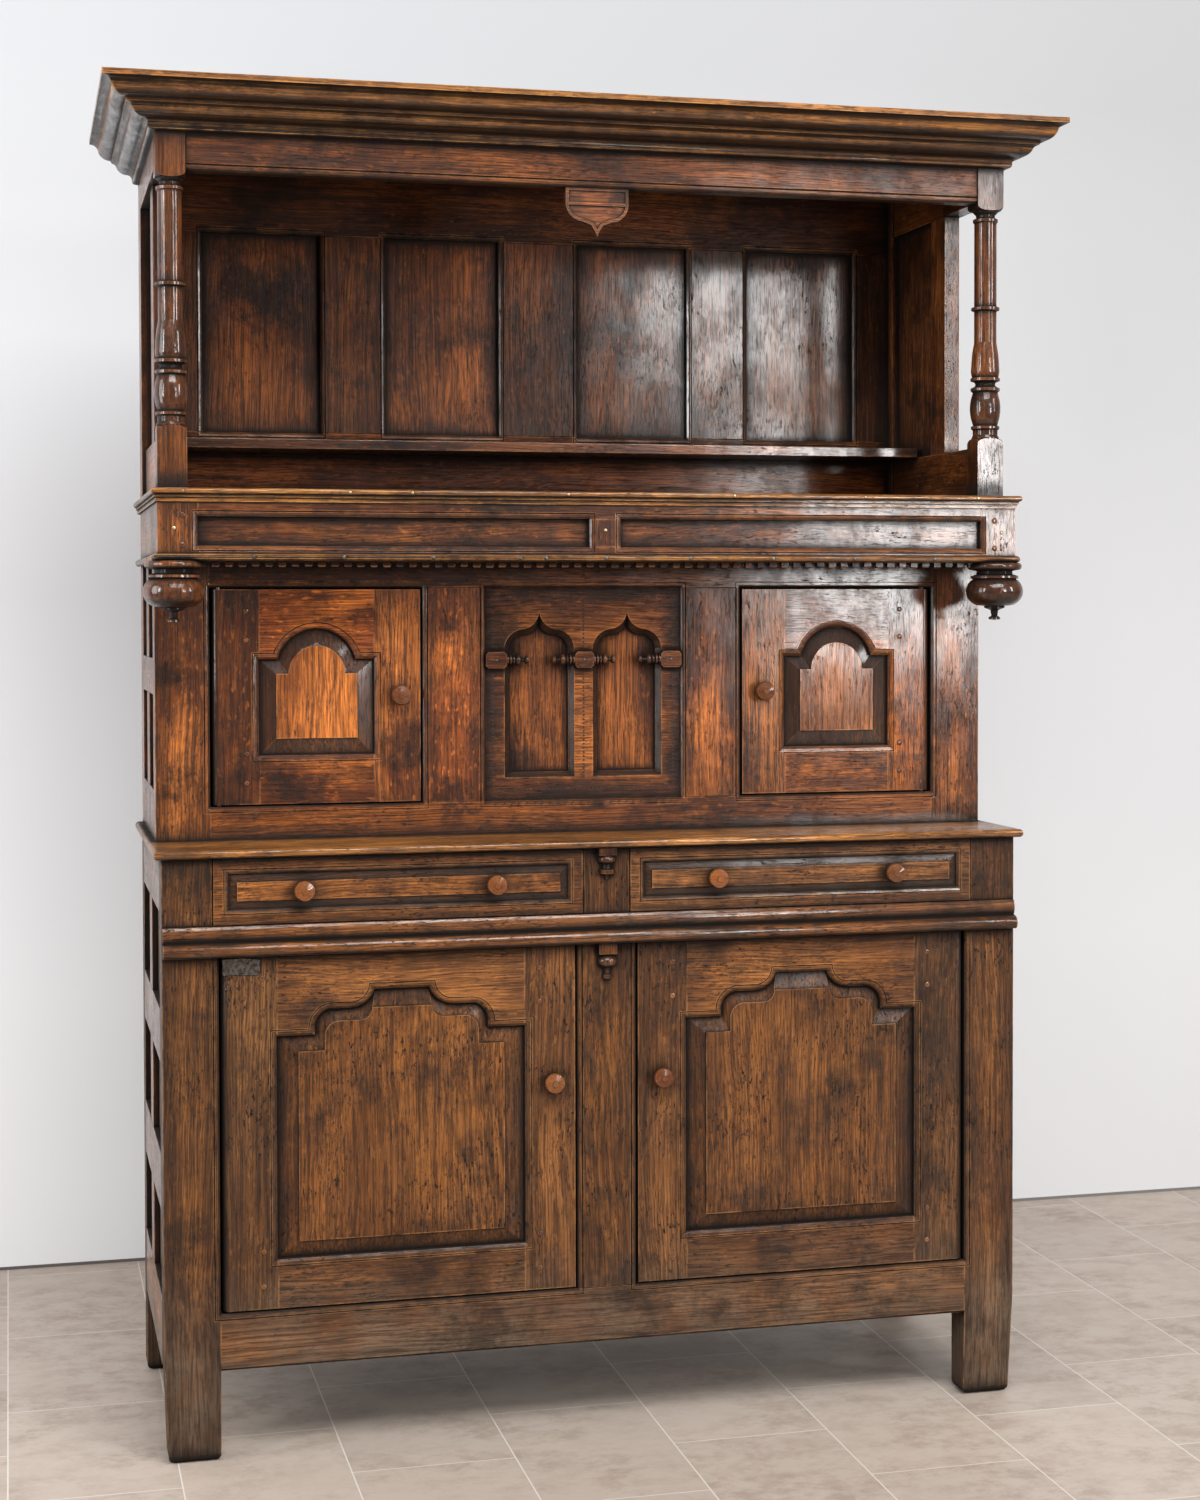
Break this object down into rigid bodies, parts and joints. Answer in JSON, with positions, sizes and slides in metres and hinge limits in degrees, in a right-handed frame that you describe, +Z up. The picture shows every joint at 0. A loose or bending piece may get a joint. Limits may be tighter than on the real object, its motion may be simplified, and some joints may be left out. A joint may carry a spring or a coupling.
{
  "type": "court cupboard",
  "caption": "Three-tier oak court cupboard with shaped panelled doors, drawers, an arcaded centre, a canopy with turned drops and an open top on turned columns.",
  "frame": {"origin": "centre of the bounding box in plan, on the floor under the feet", "axes": "+Z up, -Y towards the front with the doors and drawers, +X to the right as seen from the front"},
  "size_m": [1.506, 0.549, 2.048],
  "materials": {
    "polished_oak": "dark red-brown oak, waxed and polished",
    "worn_oak": "browner oak, worn and pitted, thinly waxed",
    "plain_oak": "dry unpolished oak, darkened with age",
    "fruitwood": "smooth turned fruitwood, polished",
    "iron": "dark wrought iron"
  },
  "bodies": {
    "cupboard": {"arcade_back_panel": "polished_oak", "arcade_board": "polished_oak", "arcade_split_turnings": "polished_oak", "base_back_boards": "plain_oak", "base_front_muntins": "worn_oak", "base_front_rails": "worn_oak", "base_posts": "worn_oak", "base_rails": "worn_oak", "base_side_panels": "plain_oak", "canopy_bead": "polished_oak", "canopy_deck_boards": "polished_oak", "canopy_side_rails": "polished_oak", "canopy_soffit": "plain_oak", "cornice": "polished_oak", "drawer_runners": "plain_oak", "drop_pendants": "polished_oak", "floor_boards": "plain_oak", "frieze_panels": "polished_oak", "frieze_posts": "polished_oak", "frieze_rails": "polished_oak", "front_top_rail": "polished_oak", "hinge_pins": "iron", "mid_back_boards": "plain_oak", "mid_front_muntins": "polished_oak", "mid_front_rails": "polished_oak", "mid_side_panels": "polished_oak", "mid_side_rails": "polished_oak", "pendant_shield": "polished_oak", "side_muntins": "polished_oak", "split_drops": "worn_oak", "table_top_boards": "worn_oak", "top_boards": "plain_oak", "turned_columns": "polished_oak", "upper_back_muntins": "polished_oak", "upper_back_panels": "polished_oak", "upper_back_rails": "polished_oak", "upper_case_posts": "polished_oak", "upper_shelf": "polished_oak", "upper_side_panels": "polished_oak", "upper_side_rails": "polished_oak", "waist_moulding": "worn_oak"},
    "lower_door_left": {"lower_door_left_frame": "worn_oak", "lower_door_left_panel": "worn_oak", "lower_door_left_knob": "fruitwood"},
    "upper_door_left": {"upper_door_left_frame": "polished_oak", "upper_door_left_panel": "polished_oak", "upper_door_left_knob": "fruitwood"},
    "drawer_left": {"drawer_left_front": "worn_oak", "drawer_left_box": "plain_oak", "drawer_left_knobs": "fruitwood"},
    "lower_door_right": {"lower_door_right_frame": "worn_oak", "lower_door_right_panel": "worn_oak", "lower_door_right_knob": "fruitwood"},
    "upper_door_right": {"upper_door_right_frame": "polished_oak", "upper_door_right_panel": "polished_oak", "upper_door_right_knob": "fruitwood"},
    "drawer_right": {"drawer_right_front": "worn_oak", "drawer_right_box": "plain_oak", "drawer_right_knobs": "fruitwood"}
  },
  "joints": [
    {"name": "lower_door_left_hinge", "type": "hinge", "parent": "cupboard", "child": "lower_door_left", "pos_m": [-0.578, -0.225, 0.489], "axis": [0, 0, -1], "range_deg": [0, 95]},
    {"name": "upper_door_left_hinge", "type": "hinge", "parent": "cupboard", "child": "upper_door_left", "pos_m": [-0.577, -0.082, 1.134], "axis": [0, 0, -1], "range_deg": [0, 95]},
    {"name": "drawer_left_slide", "type": "slide", "parent": "cupboard", "child": "drawer_left", "axis": [0, -1, 0], "range_m": [0, 0.3]},
    {"name": "lower_door_right_hinge", "type": "hinge", "parent": "cupboard", "child": "lower_door_right", "pos_m": [0.578, -0.225, 0.489], "axis": [0, 0, 1], "range_deg": [0, 95]},
    {"name": "upper_door_right_hinge", "type": "hinge", "parent": "cupboard", "child": "upper_door_right", "pos_m": [0.577, -0.082, 1.134], "axis": [0, 0, 1], "range_deg": [0, 95]},
    {"name": "drawer_right_slide", "type": "slide", "parent": "cupboard", "child": "drawer_right", "axis": [0, -1, 0], "range_m": [0, 0.3]}
  ]
}
